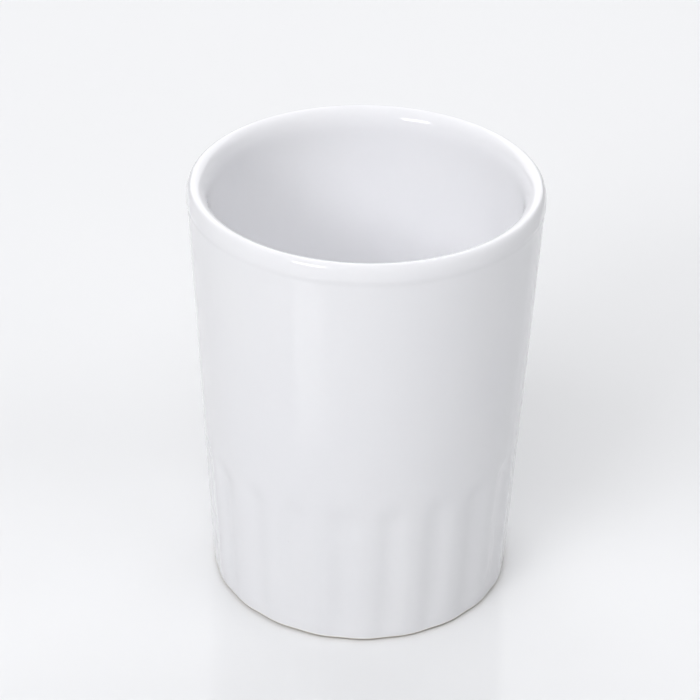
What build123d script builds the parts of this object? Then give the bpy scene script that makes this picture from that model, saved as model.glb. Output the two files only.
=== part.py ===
from build123d import *
import os
from math import atan, cos, sin, sqrt

# Pen holder cup: a thick glazed ceramic tumbler with a rolled lip and a fluted lower wall.
# Its foot ring is held clear of the desk by a non-slip pad, stuck into the hollow of the base.
# Millimetres. +Z is up, and the origin is the middle of the pad's underside, on the desk.

# Overall form
overall_height = 102.0
rim_diameter = 80.0
base_diameter = 71.2
wall_thickness = 4.5
floor_thickness = 5.0
floor_corner_radius = 7.0

# Rolled lip and the shallow band that it makes round the outside
lip_crest_inset = 1.6
lip_outer_height = 3.2
lip_inner_height = 4.8
band_height = 3.6
band_proud = 0.28
band_step_height = 0.5

# Flutes round the lower wall, each a flat panel with a round-shouldered top
flute_count = 21
flute_top_height = 39.0
flute_depth = 0.32
flute_shoulder_width = 2.8
flute_shoulder_height = 6.0
flute_cutter_reach = 4.0

# Foot ring and the hollow that it surrounds
foot_ring_width = 4.6
foot_hollow_depth = 1.6
foot_edge_radius = 0.4

# Non-slip pad and the adhesive disc that holds it
pad_thickness = 1.8
pad_clearance = 0.5
pad_edge_radius = 0.3
adhesive_thickness = 0.2
adhesive_inset = 0.6

# Places that follow from the sizes above
rim_radius = rim_diameter / 2
base_radius = base_diameter / 2
foot_lift = pad_thickness + adhesive_thickness - foot_hollow_depth
hollow_ceiling = foot_lift + foot_hollow_depth
inner_floor = hollow_ceiling + floor_thickness
band_bottom = overall_height - band_height
step_bottom = band_bottom - band_step_height
wall_top_radius = rim_radius - band_proud
wall_slope = (wall_top_radius - base_radius) / (step_bottom - foot_lift)
wall_draft = atan(wall_slope)
hollow_radius = base_radius - foot_ring_width
pad_radius = hollow_radius - pad_clearance
adhesive_radius = pad_radius - adhesive_inset
lip_inner_bottom = overall_height - lip_inner_height


def outer_radius(height):
    """Radius of the plain tapered outer wall at a height."""
    return base_radius + wall_slope * (height - foot_lift)


def inner_radius(height):
    """Radius of the inner wall, one wall thickness inside the outer one."""
    return outer_radius(height) - wall_thickness / cos(wall_draft)


def cup_section():
    """Half section of the cup, from its axis outwards, before the flutes are cut."""
    crest_radius = rim_radius - lip_crest_inset
    lip_inner_radius = inner_radius(lip_inner_bottom)
    with BuildSketch(Plane.XZ) as section:
        with BuildLine():
            Polyline(
                (0, hollow_ceiling),
                (hollow_radius, hollow_ceiling),
                (hollow_radius, foot_lift),
                (base_radius, foot_lift),
                (wall_top_radius, step_bottom),
                (rim_radius, band_bottom),
                (rim_radius, overall_height - lip_outer_height),
            )
            EllipticalCenterArc(
                (crest_radius, overall_height - lip_outer_height),
                lip_crest_inset,
                lip_outer_height,
                start_angle=0,
                arc_size=90,
            )
            EllipticalCenterArc(
                (crest_radius, lip_inner_bottom),
                crest_radius - lip_inner_radius,
                lip_inner_height,
                start_angle=90,
                arc_size=90,
            )
            Polyline(
                (lip_inner_radius, lip_inner_bottom),
                (inner_radius(inner_floor), inner_floor),
                (0, inner_floor),
                (0, hollow_ceiling),
            )
        make_face()
        floor_corner = section.vertices().sort_by_distance((inner_radius(inner_floor), inner_floor))[0]
        fillet(floor_corner, floor_corner_radius)
        foot_corners = [
            section.vertices().sort_by_distance((hollow_radius, foot_lift))[0],
            section.vertices().sort_by_distance((base_radius, foot_lift))[0],
        ]
        fillet(foot_corners, foot_edge_radius)
    return section.sketch


def flute_cutter():
    """Slab lying outside one flute's flat panel, with a round-shouldered top."""
    foot_point = Vector(base_radius, 0, foot_lift)
    outward = Vector(cos(wall_draft), 0, -sin(wall_draft))
    panel_plane = Plane(foot_point - outward * flute_depth, x_dir=(0, 1, 0), z_dir=outward)
    panel_height = (flute_top_height - foot_lift) / cos(wall_draft)
    top_radius = outer_radius(flute_top_height)
    panel_half_width = sqrt(2 * top_radius * flute_depth - flute_depth**2)
    straight_height = panel_height - flute_shoulder_height
    shoulder_middle = panel_half_width - flute_shoulder_width
    with BuildPart() as cutter:
        with BuildSketch(panel_plane):
            with Locations((0, (straight_height - flute_cutter_reach) / 2)):
                Rectangle(2 * panel_half_width, straight_height + flute_cutter_reach)
            with Locations((0, straight_height + flute_shoulder_height / 2)):
                Rectangle(2 * shoulder_middle, flute_shoulder_height)
            with Locations((-shoulder_middle, straight_height), (shoulder_middle, straight_height)):
                Ellipse(flute_shoulder_width, flute_shoulder_height)
        extrude(amount=flute_cutter_reach)
    return cutter.part


def make_cup_body():
    """The ceramic cup: one revolved body with the flutes cut round its lower wall."""
    body = revolve(cup_section(), axis=Axis.Z)
    cutter = flute_cutter()
    flute_pitch = 360 / flute_count
    for index in range(flute_count):
        # A ridge between two flutes faces straight forwards, along -Y
        flute_angle = -90 + (index + 0.5) * flute_pitch
        body = body - Rot(0, 0, flute_angle) * cutter
    return body


def make_base_pad():
    """The round non-slip pad that stands on the desk."""
    with BuildPart() as pad:
        with Locations((0, 0, pad_thickness / 2)):
            Cylinder(pad_radius, pad_thickness)
        fillet(pad.edges().filter_by(GeomType.CIRCLE), pad_edge_radius)
    return pad.part


def make_pad_adhesive():
    """The thin adhesive disc between the pad and the ceiling of the foot hollow."""
    with BuildPart() as adhesive:
        with Locations((0, 0, pad_thickness + adhesive_thickness / 2)):
            Cylinder(adhesive_radius, adhesive_thickness)
    return adhesive.part


parts = {
    "cup_body": make_cup_body(),
    "base_pad": make_base_pad(),
    "pad_adhesive": make_pad_adhesive(),
}

os.makedirs("parts", exist_ok=True)
for name, shape in parts.items():
    export_step(shape, os.path.join("parts", name + ".step"))
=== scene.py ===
import bpy
import bmesh
from math import atan2, cos, pi, radians, sin, sqrt
from mathutils import Matrix, Vector


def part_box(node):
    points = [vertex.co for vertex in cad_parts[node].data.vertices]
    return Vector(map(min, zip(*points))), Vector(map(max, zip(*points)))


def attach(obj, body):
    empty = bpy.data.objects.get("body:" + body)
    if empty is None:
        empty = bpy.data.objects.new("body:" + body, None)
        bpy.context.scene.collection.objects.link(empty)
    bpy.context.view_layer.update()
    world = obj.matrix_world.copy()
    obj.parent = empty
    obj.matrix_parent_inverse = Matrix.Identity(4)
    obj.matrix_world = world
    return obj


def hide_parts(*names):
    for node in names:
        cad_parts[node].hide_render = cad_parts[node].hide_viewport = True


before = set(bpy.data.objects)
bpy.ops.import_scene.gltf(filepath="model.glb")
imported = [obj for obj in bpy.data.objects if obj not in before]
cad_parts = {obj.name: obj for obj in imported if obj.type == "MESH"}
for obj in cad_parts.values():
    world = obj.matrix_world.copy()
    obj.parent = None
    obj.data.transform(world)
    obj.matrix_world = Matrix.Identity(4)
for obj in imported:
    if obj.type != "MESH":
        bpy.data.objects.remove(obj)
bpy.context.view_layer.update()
scene = bpy.context.scene
scene.view_settings.view_transform = "Standard"
mm = 0.001

cupLow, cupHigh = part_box("cup_body")


# Small helpers for node trees

def addNode(tree, kind, place, **values):
    node = tree.nodes.new(kind)
    node.location = place
    for name, value in values.items():
        setattr(node, name, value)
    return node


def newMaterial(name):
    material = bpy.data.materials.new(name)
    material.use_nodes = True
    tree = material.node_tree
    tree.nodes.clear()
    output = addNode(tree, "ShaderNodeOutputMaterial", (900, 0))
    shader = addNode(tree, "ShaderNodeBsdfPrincipled", (600, 0))
    tree.links.new(shader.outputs["BSDF"], output.inputs["Surface"])
    return material, tree, shader


def newGroup(name, inputs, outputs):
    group = bpy.data.node_groups.new(name, "ShaderNodeTree")
    for label, kind, value in inputs:
        socket = group.interface.new_socket(label, in_out="INPUT", socket_type=kind)
        socket.default_value = value
    for label, kind in outputs:
        group.interface.new_socket(label, in_out="OUTPUT", socket_type=kind)
    start = addNode(group, "NodeGroupInput", (-900, 0))
    end = addNode(group, "NodeGroupOutput", (900, 0))
    return group, start, end


# Groups that several finishes share

def makeMottle():
    # Slow drift and fine grain in one value, for colour and for roughness
    group, start, end = newGroup(
        "surfaceMottle",
        [
            ("Drift Scale", "NodeSocketFloat", 30.0),
            ("Grain Scale", "NodeSocketFloat", 600.0),
            ("Grain Share", "NodeSocketFloat", 0.3),
            ("Low", "NodeSocketFloat", 0.0),
            ("High", "NodeSocketFloat", 1.0),
        ],
        [("Value", "NodeSocketFloat")],
    )
    links = group.links
    place = addNode(group, "ShaderNodeTexCoord", (-700, 300))
    drift = addNode(group, "ShaderNodeTexNoise", (-450, 200))
    grain = addNode(group, "ShaderNodeTexNoise", (-450, -100))
    drift.inputs["Detail"].default_value = 3.0
    grain.inputs["Detail"].default_value = 5.0
    links.new(place.outputs["Object"], drift.inputs["Vector"])
    links.new(place.outputs["Object"], grain.inputs["Vector"])
    links.new(start.outputs["Drift Scale"], drift.inputs["Scale"])
    links.new(start.outputs["Grain Scale"], grain.inputs["Scale"])
    blend = addNode(group, "ShaderNodeMix", (-150, 100), data_type="FLOAT")
    links.new(start.outputs["Grain Share"], blend.inputs[0])
    links.new(drift.outputs["Fac"], blend.inputs[2])
    links.new(grain.outputs["Fac"], blend.inputs[3])
    spread = addNode(group, "ShaderNodeMapRange", (150, 100))
    spread.inputs["From Min"].default_value = 0.25
    spread.inputs["From Max"].default_value = 0.75
    links.new(blend.outputs[0], spread.inputs["Value"])
    links.new(start.outputs["Low"], spread.inputs["To Min"])
    links.new(start.outputs["High"], spread.inputs["To Max"])
    links.new(spread.outputs["Result"], end.inputs["Value"])
    return group


surfaceMottle = makeMottle()


def addMottle(tree, place, mottle, low=0.0, high=1.0):
    driftScale, grainScale, grainShare = mottle
    node = addNode(tree, "ShaderNodeGroup", place)
    node.node_tree = surfaceMottle
    node.inputs["Drift Scale"].default_value = driftScale
    node.inputs["Grain Scale"].default_value = grainScale
    node.inputs["Grain Share"].default_value = grainShare
    node.inputs["Low"].default_value = low
    node.inputs["High"].default_value = high
    return node


def makeSpecks():
    # Sparse round specks of different strengths, as a mask: one in a few cells holds a speck
    group, start, end = newGroup(
        "sparseSpecks",
        [
            ("Cell Scale", "NodeSocketFloat", 60.0),
            ("Speck Size", "NodeSocketFloat", 0.015),
            ("Kept Share", "NodeSocketFloat", 0.1),
        ],
        [("Mask", "NodeSocketFloat")],
    )
    links = group.links
    place = addNode(group, "ShaderNodeTexCoord", (-750, 200))
    cells = addNode(group, "ShaderNodeTexVoronoi", (-550, 200), feature="F1")
    links.new(place.outputs["Object"], cells.inputs["Vector"])
    links.new(start.outputs["Cell Scale"], cells.inputs["Scale"])
    inside = addNode(group, "ShaderNodeMapRange", (-200, 300))
    inside.inputs["From Max"].default_value = 0.0
    links.new(cells.outputs["Distance"], inside.inputs["Value"])
    links.new(start.outputs["Speck Size"], inside.inputs["From Min"])
    pick = addNode(group, "ShaderNodeSeparateColor", (-350, 0))
    links.new(cells.outputs["Color"], pick.inputs["Color"])
    kept = addNode(group, "ShaderNodeMath", (-100, 0), operation="LESS_THAN")
    links.new(pick.outputs["Red"], kept.inputs[0])
    links.new(start.outputs["Kept Share"], kept.inputs[1])
    strength = addNode(group, "ShaderNodeMath", (100, -100), operation="MULTIPLY")
    links.new(kept.outputs[0], strength.inputs[0])
    links.new(pick.outputs["Green"], strength.inputs[1])
    mask = addNode(group, "ShaderNodeMath", (400, 100), operation="MULTIPLY")
    links.new(inside.outputs["Result"], mask.inputs[0])
    links.new(strength.outputs[0], mask.inputs[1])
    links.new(mask.outputs[0], end.inputs["Mask"])
    return group


sparseSpecks = makeSpecks()


def addSpecks(tree, place, cellScale, speckSize, keptShare):
    node = addNode(tree, "ShaderNodeGroup", place)
    node.node_tree = sparseSpecks
    node.inputs["Cell Scale"].default_value = cellScale
    node.inputs["Speck Size"].default_value = speckSize
    node.inputs["Kept Share"].default_value = keptShare
    return node


# Cup

cupLook = {
    "thinGlazeColour": (0.94, 0.94, 0.952, 1),
    "pooledGlazeColour": (0.905, 0.907, 0.933, 1),
    "paintedEdgeHighlightColour": (0.99, 0.99, 0.985, 1),  # painted highlight: a thin bright line along the foot's edge, standing in for light caught by the rounded edge
    "paintedHighlightTop": 0.9 * mm,                    # top of the painted highlight, above the foot
    "speckColour": (0.12, 0.10, 0.09, 1),       # tiny iron specks in the glaze
    "speckCell": 110.0,                         # per metre
    "speckSize": 0.03,                          # share of a cell
    "speckShare": 0.10,
    "glazeIor": 1.5,
    # Mottles: drift scale and grain scale, both per metre, and the grain's share
    "tintMottle": (22.0, 900.0, 0.15),
    "polishMottle": (45.0, 700.0, 0.4),
    "polishSpread": (0.8, 1.2),                 # times the glaze's roughness
    "clayMottle": (150.0, 2200.0, 0.6),
    "rippleMottle": (60.0, 900.0, 0.02),
    "rippleStrength": 0.03,
    "rippleHeight": 0.2 * mm,
    "glazeLineBlur": 0.1 * mm,
    "paintedHighlightBlur": 0.6,                        # painted highlight at full brightness from this share of its height down
    "footColour": (0.50, 0.44, 0.36, 1),        # bare clay
    "footPaleColour": (0.66, 0.60, 0.51, 1),
    "glazeRoughness": 0.07,
    "footRoughness": 0.75,
    "glazeLine": 0.35 * mm,                     # bare clay below this, above the foot
}

cupForm = {
    "rimRadius": 40.0 * mm,
    "baseRadius": 35.6 * mm,
    "wall": 4.5 * mm,
    "lipCrestInset": 1.6 * mm,
    "lipOuterHeight": 3.2 * mm,
    "lipInnerHeight": 4.8 * mm,
    "easeLength": 3.75 * mm,                    # from the lip's inner roll to the straight wall
    "easeSteps": 12,
    "wallLean": radians(2.42),
    "bandHeight": 3.3 * mm,
    "bandProud": 0.2 * mm,
    "bandStep": 1.8 * mm,
    "floorThickness": 5.0 * mm,
    "floorCorner": 7.0 * mm,
    "hollowDepth": 1.6 * mm,
    "footRing": 4.6 * mm,
    "footEdge": 0.4 * mm,
    "fluteCount": 21,
    "fluteTop": 41.0 * mm,
    "fluteDepth": 0.48 * mm,
    "archHeight": 7.0 * mm,
    "valleySharpness": 1.3,
    "footShare": 0.45,                          # share of the flutes' depth that is left at the foot
    "footFade": 6.0 * mm,
    "stepsPerFlute": 20,
}


def wallRadius(height):
    form = cupForm
    top = cupHigh[2] - form["bandHeight"] - form["bandStep"]
    slope = (form["rimRadius"] - form["bandProud"] - form["baseRadius"]) / (top - cupLow[2])
    return form["baseRadius"] + slope * (height - cupLow[2])


def smoothStep(value):
    value = min(1.0, max(0.0, value))
    return value * value * (3 - 2 * value)


def fluteSink(angle, height):
    # How far a flute's hollow lies inside the plain wall: a soft valley between round ridges
    form = cupForm
    # A ridge faces straight ahead, along -Y
    turn = ((angle + pi / 2) * form["fluteCount"] / (2 * pi)) % 1.0 - 0.5
    across = 2 * turn
    archFoot = form["fluteTop"] - form["archHeight"]
    rise = max(height - archFoot, 0.0) / form["archHeight"]
    reach = min(sqrt(across * across + rise * rise), 1.0)
    foot = smoothStep((height - cupLow[2]) / form["footFade"])
    share = form["footShare"] + (1 - form["footShare"]) * foot
    return share * form["fluteDepth"] * (0.5 + 0.5 * cos(pi * reach)) ** form["valleySharpness"]


def arcPoints(centre, radiusX, radiusZ, startAngle, endAngle, count):
    points = []
    for step in range(count + 1):
        angle = radians(startAngle + (endAngle - startAngle) * step / count)
        points.append((centre[0] + radiusX * cos(angle), centre[1] + radiusZ * sin(angle)))
    return points


def linePoints(start, end, count):
    points = []
    for step in range(1, count):
        share = step / count
        points.append((start[0] + (end[0] - start[0]) * share, start[1] + (end[1] - start[1]) * share))
    return points


def easeIntoWall(before, start):
    # Carries the lip's roll on, bending less and less, until it runs down the inner wall
    form = cupForm
    heading = atan2(before[1] - start[1], before[0] - start[0])
    turn = pi / 2 - form["wallLean"] - heading
    points = []
    radius, height = start
    for step in range(form["easeSteps"]):
        left = 1 - (step + 0.5) / form["easeSteps"]
        lean = heading + turn * (1 - left * left)
        radius -= form["easeLength"] / form["easeSteps"] * cos(lean)
        height -= form["easeLength"] / form["easeSteps"] * sin(lean)
        points.append((radius, height))
    return points


def cupSection():
    # Points from under the base to the inner floor: radius, height, and the share of the
    # flutes' depth that the point follows
    form = cupForm
    foot = cupLow[2]
    top = cupHigh[2]
    ceiling = foot + form["hollowDepth"]
    floor = ceiling + form["floorThickness"]
    edge = form["footEdge"]
    hollow = form["baseRadius"] - form["footRing"]
    bandBottom = top - form["bandHeight"]
    stepBottom = bandBottom - form["bandStep"]
    section = [(hollow * share, ceiling, 0) for share in (0.5, 0.9, 1.0)]
    section += [(hollow, ceiling - 0.3 * mm, 0)]
    section += [(r, z, 0) for r, z in arcPoints((hollow + edge, foot + edge), edge, edge, 180, 270, 6)]
    base = form["baseRadius"]
    section += [(r, z, 0.5) for r, z in linePoints((hollow + edge, foot), (base - edge, foot), 3)]
    section += [(r, z, 1) for r, z in arcPoints((base - edge, foot + edge), edge, edge, 270, 360, 7)]
    heights = []
    height = foot + edge + 0.6 * mm
    archFoot = form["fluteTop"] - form["archHeight"]
    while height < stepBottom - 1.0 * mm:
        heights.append(height)
        nearArch = archFoot - 2 * mm < height < form["fluteTop"] + 1 * mm
        nearFoot = height < foot + form["footFade"]
        height += 0.4 * mm if nearArch else 0.9 * mm if nearFoot else 2.5 * mm
    section += [(wallRadius(height), height, 1) for height in heights]
    wallTop = wallRadius(stepBottom)
    for step in range(7):
        share = step / 6
        radius = wallTop + (form["rimRadius"] - wallTop) * smoothStep(share)
        section.append((radius, stepBottom + form["bandStep"] * share, 0))
    crest = form["rimRadius"] - form["lipCrestInset"]
    lipFoot = top - form["lipOuterHeight"]
    section += [
        (r, z, 0)
        for r, z in arcPoints((crest, lipFoot), form["lipCrestInset"], form["lipOuterHeight"], 0, 90, 14)
    ]
    innerFoot = top - form["lipInnerHeight"]
    innerTop = wallRadius(innerFoot) - form["wall"]
    roll = arcPoints((crest, innerFoot), crest - innerTop, form["lipInnerHeight"], 90, 150, 14)[1:]
    section += [(r, z, 0) for r, z in roll + easeIntoWall(roll[-2], roll[-1])]
    innerTop, innerFoot = section[-1][:2]
    corner = form["floorCorner"]
    innerBase = wallRadius(floor + corner) - form["wall"]
    section += [(r, z, 0) for r, z in linePoints((innerTop, innerFoot), (innerBase, floor + corner), 30)]
    section += [
        (r, z, 0)
        for r, z in arcPoints((innerBase - corner, floor + corner), corner, corner, 0, -90, 14)
    ]
    flat = innerBase - corner
    section += [(flat * share, floor, 0) for share in (0.75, 0.5, 0.25)]
    return section, ceiling, floor


def makeCup():
    form = cupForm
    section, ceiling, floor = cupSection()
    count = form["fluteCount"] * form["stepsPerFlute"]
    mesh = bpy.data.meshes.new("ceramicCup")
    build = bmesh.new()
    rings = []
    for radius, height, follow in section:
        ring = []
        for step in range(count):
            angle = 2 * pi * step / count
            sunk = radius - follow * fluteSink(angle, height) if follow else radius
            ring.append(build.verts.new((sunk * cos(angle), sunk * sin(angle), height)))
        rings.append(ring)
    bottom = build.verts.new((0, 0, ceiling))
    inside = build.verts.new((0, 0, floor))
    for step in range(count):
        after = (step + 1) % count
        build.faces.new((bottom, rings[0][after], rings[0][step]))
        build.faces.new((inside, rings[-1][step], rings[-1][after]))
        for lower, upper in zip(rings, rings[1:]):
            build.faces.new((lower[step], lower[after], upper[after], upper[step]))
    for face in build.faces:
        face.smooth = True
    bmesh.ops.recalc_face_normals(build, faces=build.faces)
    build.to_mesh(mesh)
    build.free()
    cup = bpy.data.objects.new("ceramicCup", mesh)
    scene.collection.objects.link(cup)
    return cup


def makeGlaze():
    look = cupLook
    material, tree, shader = newMaterial("whiteGlaze")
    links = tree.links
    drift = addMottle(tree, (-700, 300), look["tintMottle"])
    tint = addNode(tree, "ShaderNodeMix", (-400, 300), data_type="RGBA")
    tint.inputs[6].default_value = look["pooledGlazeColour"]
    tint.inputs[7].default_value = look["thinGlazeColour"]
    links.new(drift.outputs["Value"], tint.inputs[0])
    place = addNode(tree, "ShaderNodeTexCoord", (-1000, -200))
    split = addNode(tree, "ShaderNodeSeparateXYZ", (-800, -200))
    links.new(place.outputs["Object"], split.inputs[0])
    line = addNode(tree, "ShaderNodeMapRange", (-400, -200))
    foot = cupLow[2]
    line.inputs["From Min"].default_value = foot + look["glazeLine"] - look["glazeLineBlur"]
    line.inputs["From Max"].default_value = foot + look["glazeLine"] + look["glazeLineBlur"]
    links.new(split.outputs["Z"], line.inputs["Value"])
    # Painted highlight: a near-white line mixed into the glaze colour just above the foot, standing in
    # for light caught by the rounded edge
    edge = addNode(tree, "ShaderNodeMapRange", (-400, 0))
    edge.inputs["From Min"].default_value = foot + look["paintedHighlightTop"]
    edge.inputs["From Max"].default_value = foot + look["paintedHighlightBlur"] * look["paintedHighlightTop"]
    links.new(split.outputs["Z"], edge.inputs["Value"])
    paintedHighlight = addNode(tree, "ShaderNodeMix", (-200, 200), data_type="RGBA")
    paintedHighlight.inputs[7].default_value = look["paintedEdgeHighlightColour"]
    links.new(edge.outputs["Result"], paintedHighlight.inputs[0])
    links.new(tint.outputs[2], paintedHighlight.inputs[6])
    specks = addSpecks(tree, (-400, 600), look["speckCell"], look["speckSize"], look["speckShare"])
    dotted = addNode(tree, "ShaderNodeMix", (-50, 400), data_type="RGBA")
    dotted.inputs[7].default_value = look["speckColour"]
    links.new(specks.outputs["Mask"], dotted.inputs[0])
    links.new(paintedHighlight.outputs[2], dotted.inputs[6])
    clay = addMottle(tree, (-700, 900), look["clayMottle"])
    bare = addNode(tree, "ShaderNodeMix", (-50, 700), data_type="RGBA")
    bare.inputs[6].default_value = look["footColour"]
    bare.inputs[7].default_value = look["footPaleColour"]
    links.new(clay.outputs["Value"], bare.inputs[0])
    clad = addNode(tree, "ShaderNodeMix", (200, 200), data_type="RGBA")
    links.new(line.outputs["Result"], clad.inputs[0])
    links.new(bare.outputs[2], clad.inputs[6])
    links.new(dotted.outputs[2], clad.inputs[7])
    links.new(clad.outputs[2], shader.inputs["Base Color"])
    smooth, dull = (share * look["glazeRoughness"] for share in look["polishSpread"])
    polish = addMottle(tree, (-700, -450), look["polishMottle"], smooth, dull)
    finish = addNode(tree, "ShaderNodeMix", (0, -200), data_type="FLOAT")
    finish.inputs[2].default_value = look["footRoughness"]
    links.new(line.outputs["Result"], finish.inputs[0])
    links.new(polish.outputs["Value"], finish.inputs[3])
    links.new(finish.outputs[0], shader.inputs["Roughness"])
    ripple = addMottle(tree, (-400, -700), look["rippleMottle"])
    bump = addNode(tree, "ShaderNodeBump", (300, -500))
    bump.inputs["Strength"].default_value = look["rippleStrength"]
    bump.inputs["Distance"].default_value = look["rippleHeight"]
    links.new(ripple.outputs["Value"], bump.inputs["Height"])
    links.new(bump.outputs["Normal"], shader.inputs["Normal"])
    shader.inputs["IOR"].default_value = look["glazeIor"]
    return material


cup = makeCup()
cup.data.materials.append(makeGlaze())
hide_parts("cup_body")
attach(cup, "root")
print("cup made:", len(cup.data.vertices), "points")


# Pad under the base

padLook = {
    "colour": (0.045, 0.043, 0.04, 1),
    "paleColour": (0.07, 0.068, 0.064, 1),
    "roughness": 0.8,
    "roughnessBelow": 0.12,
    "roughnessAbove": 0.1,
    "speckleMottle": (120.0, 2500.0, 0.6),
    "scuffMottle": (60.0, 1800.0, 0.5),
    "grainStrength": 0.5,
    "grainHeight": 0.1 * mm,
}


def makePadRubber():
    look = padLook
    material, tree, shader = newMaterial("padRubber")
    links = tree.links
    speckle = addMottle(tree, (-500, 200), look["speckleMottle"])
    tint = addNode(tree, "ShaderNodeMix", (-200, 200), data_type="RGBA")
    tint.inputs[6].default_value = look["colour"]
    tint.inputs[7].default_value = look["paleColour"]
    links.new(speckle.outputs["Value"], tint.inputs[0])
    links.new(tint.outputs[2], shader.inputs["Base Color"])
    smooth = look["roughness"] - look["roughnessBelow"]
    dull = look["roughness"] + look["roughnessAbove"]
    scuff = addMottle(tree, (-500, -100), look["scuffMottle"], smooth, dull)
    links.new(scuff.outputs["Value"], shader.inputs["Roughness"])
    bump = addNode(tree, "ShaderNodeBump", (200, -300))
    bump.inputs["Strength"].default_value = look["grainStrength"]
    bump.inputs["Distance"].default_value = look["grainHeight"]
    links.new(speckle.outputs["Value"], bump.inputs["Height"])
    links.new(bump.outputs["Normal"], shader.inputs["Normal"])
    return material


adhesiveLook = {
    "colour": (0.72, 0.69, 0.60, 1),
    "paleColour": (0.80, 0.78, 0.70, 1),
    "roughness": 0.4,
    "hazeMottle": (80.0, 1200.0, 0.5),
}


def makeAdhesive():
    look = adhesiveLook
    material, tree, shader = newMaterial("adhesiveFilm")
    links = tree.links
    haze = addMottle(tree, (-500, 100), look["hazeMottle"])
    tint = addNode(tree, "ShaderNodeMix", (-200, 100), data_type="RGBA")
    tint.inputs[6].default_value = look["colour"]
    tint.inputs[7].default_value = look["paleColour"]
    links.new(haze.outputs["Value"], tint.inputs[0])
    links.new(tint.outputs[2], shader.inputs["Base Color"])
    shader.inputs["Roughness"].default_value = look["roughness"]
    return material


def setMaterial(piece, material):
    piece.data.materials.clear()
    piece.data.materials.append(material)


setMaterial(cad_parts["base_pad"], makePadRubber())
setMaterial(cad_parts["pad_adhesive"], makeAdhesive())
print("pad and adhesive finished")


# Floor, lights and camera

stageLook = {
    "floorColour": (0.85, 0.855, 0.86, 1),
    "floorRoughness": 0.03,
    "floorHalf": 3.0,
    "airColour": (0.95, 0.97, 1.0, 1),
    "airStrength": 0.08,
    "lightDistance": 1.6,
    "lightColour": (0.985, 0.985, 1.0),
}

# Softboxes: bearing round the cup from the front, height angle, width, height, power, whether it
# lights matt surfaces, and whether it shows in the gloss
softboxes = {
    "keyLight": (-38.5, 29, 0.5, 0.32, 5.0, False, True),
    "keyFill": (-38.5, 29, 0.55, 0.35, 5.9, True, False),
    "frontLight": (-25, 50, 1.6, 0.9, 10.8, True, False),
    "highLight": (0, 68, 1.2, 0.8, 3.2, True, False),
    "leftLight": (-75, 45, 1.2, 0.9, 2.6, True, False),
    "rightLight": (60, 45, 1.0, 0.8, 4.9, True, False),
    "leftBackLight": (-150, 42, 1.0, 0.8, 1.8, True, False),
    "rightBackLight": (130, 42, 1.0, 0.8, 3.0, True, False),
    "backLight": (180, 42, 1.8, 1.0, 9.6, True, False),
    "backPanel": (180, 31, 2.6, 1.2, 12.8, False, True),
}


def makeFloor():
    half = stageLook["floorHalf"]
    mesh = bpy.data.meshes.new("studioFloor")
    build = bmesh.new()
    corners = [build.verts.new((x * half, y * half, 0)) for x, y in ((-1, -1), (1, -1), (1, 1), (-1, 1))]
    build.faces.new(corners)
    build.to_mesh(mesh)
    build.free()
    floor = bpy.data.objects.new("studioFloor", mesh)
    scene.collection.objects.link(floor)
    material, tree, shader = newMaterial("studioFloor")
    shader.inputs["Base Color"].default_value = stageLook["floorColour"]
    shader.inputs["Roughness"].default_value = stageLook["floorRoughness"]
    floor.data.materials.append(material)
    return floor


def addSoftbox(name, bearing, rise, width, height, power, onMatt, inGloss):
    data = bpy.data.lights.new(name, "AREA")
    data.shape = "RECTANGLE"
    data.size = width
    data.size_y = height
    data.energy = power
    data.color = stageLook["lightColour"]
    light = bpy.data.objects.new(name, data)
    light.visible_diffuse = onMatt
    light.visible_glossy = inGloss
    level = cos(radians(rise))
    toward = Vector((sin(radians(bearing)) * level, -cos(radians(bearing)) * level, sin(radians(rise))))
    light.location = Vector((0, 0, 0.6 * cupHigh[2])) + toward * stageLook["lightDistance"]
    light.rotation_euler = (-toward).to_track_quat("-Z", "Y").to_euler()
    scene.collection.objects.link(light)


def makeAir():
    world = bpy.data.worlds.new("studioAir")
    world.use_nodes = True
    air = world.node_tree.nodes["Background"]
    air.inputs["Color"].default_value = stageLook["airColour"]
    air.inputs["Strength"].default_value = stageLook["airStrength"]
    scene.world = world


cameraPlace = {
    "lens": 109.7,
    "bearing": -2.5,       # degrees round the cup from straight ahead
    "away": 421.8 * mm,
    "height": 317.9 * mm,
    "tilt": 31.69,
    "turn": -0.356,
    "roll": 1.123,
}


def makeCamera():
    place = cameraPlace
    data = bpy.data.cameras.new("mainCamera")
    data.lens = place["lens"]
    data.sensor_width = 36
    data.clip_start = 0.01
    data.clip_end = 50
    camera = bpy.data.objects.new("mainCamera", data)
    orbit = Matrix.Rotation(radians(place["bearing"]), 4, "Z")
    aim = Matrix.Rotation(radians(90 - place["tilt"]), 4, "X")
    aim = aim @ Matrix.Rotation(-radians(place["turn"]), 4, "Y")
    aim = aim @ Matrix.Rotation(radians(place["roll"]), 4, "Z")
    camera.matrix_world = orbit @ Matrix.Translation((0, -place["away"], place["height"])) @ aim
    scene.collection.objects.link(camera)
    scene.camera = camera


floor = makeFloor()
makeAir()
for name, values in softboxes.items():
    addSoftbox(name, *values)
makeCamera()
print("stage, lights and camera set")
